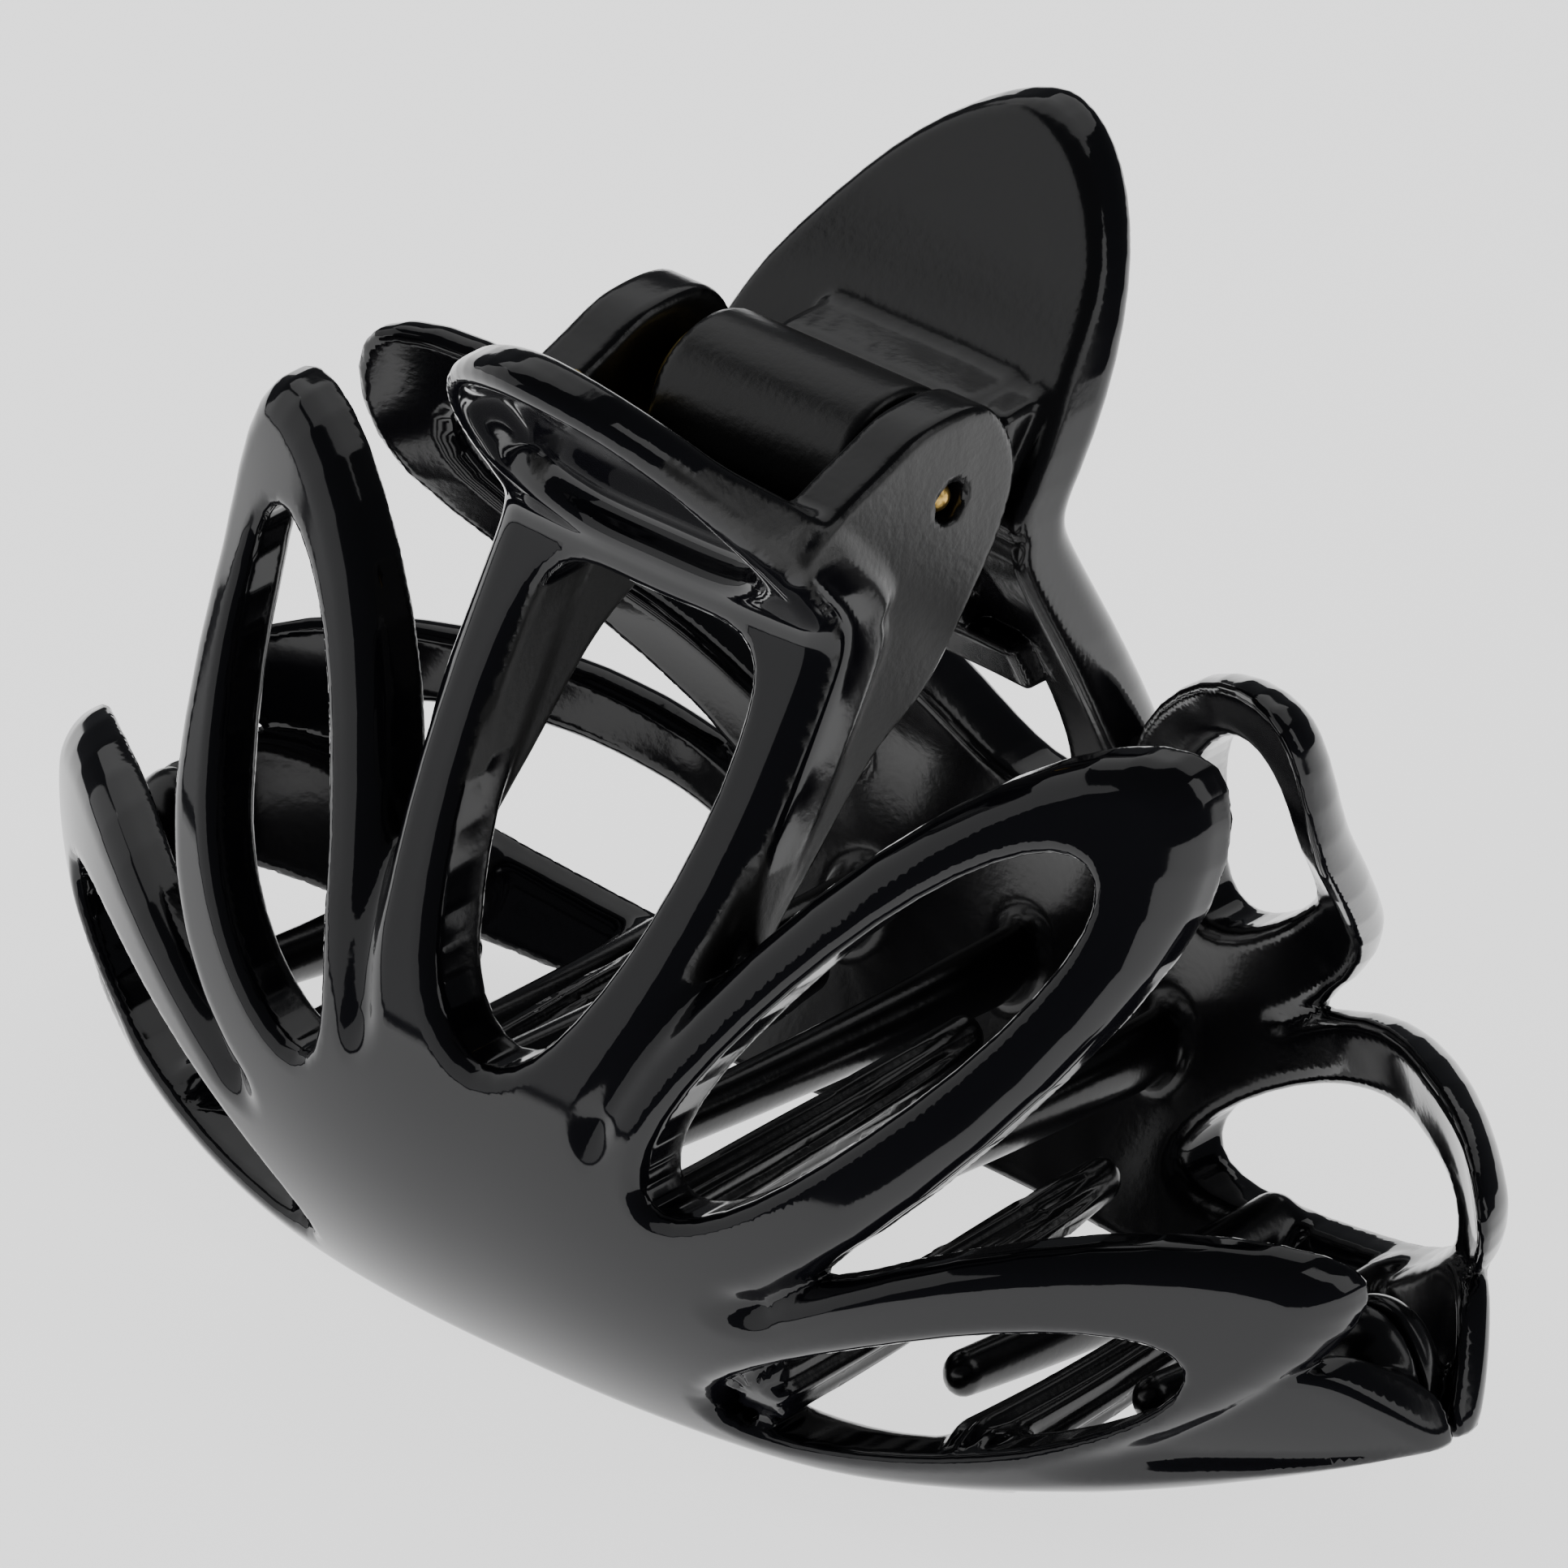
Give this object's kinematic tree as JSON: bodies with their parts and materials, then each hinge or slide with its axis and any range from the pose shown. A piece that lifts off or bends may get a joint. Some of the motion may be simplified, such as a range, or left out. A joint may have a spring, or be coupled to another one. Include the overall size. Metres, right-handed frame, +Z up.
{
  "type": "claw hair clip",
  "caption": "Claw hair clip: two curved openwork jaws of pointed petals with interlocking teeth, hinged on a pin and closed by a torsion spring.",
  "frame": {"origin": "middle of the base, on the surface the closed clip stands on", "axes": "+X along the hinge pin and the clip's length, +Z up towards the thumb paddles, the front jaw faces -Y"},
  "size_m": [0.072, 0.0374, 0.0458],
  "materials": {
    "jaw_plastic": "gloss",
    "pin_metal": "satin",
    "spring_wire": "gloss"
  },
  "bodies": {
    "front": {"front_jaw": "jaw_plastic", "hinge_pin": "pin_metal", "torsion_spring": "spring_wire"},
    "rear": {"rear_jaw": "jaw_plastic"}
  },
  "joints": [
    {"name": "jaw_hinge", "type": "hinge", "parent": "front", "child": "rear", "pos_m": [0, 0, 0.0366], "axis": [1, 0, 0], "range_deg": [0, 65], "stiffness_Nm_per_rad": 0.1, "springref_deg": -34.38, "deforming": ["torsion_spring"]}
  ]
}
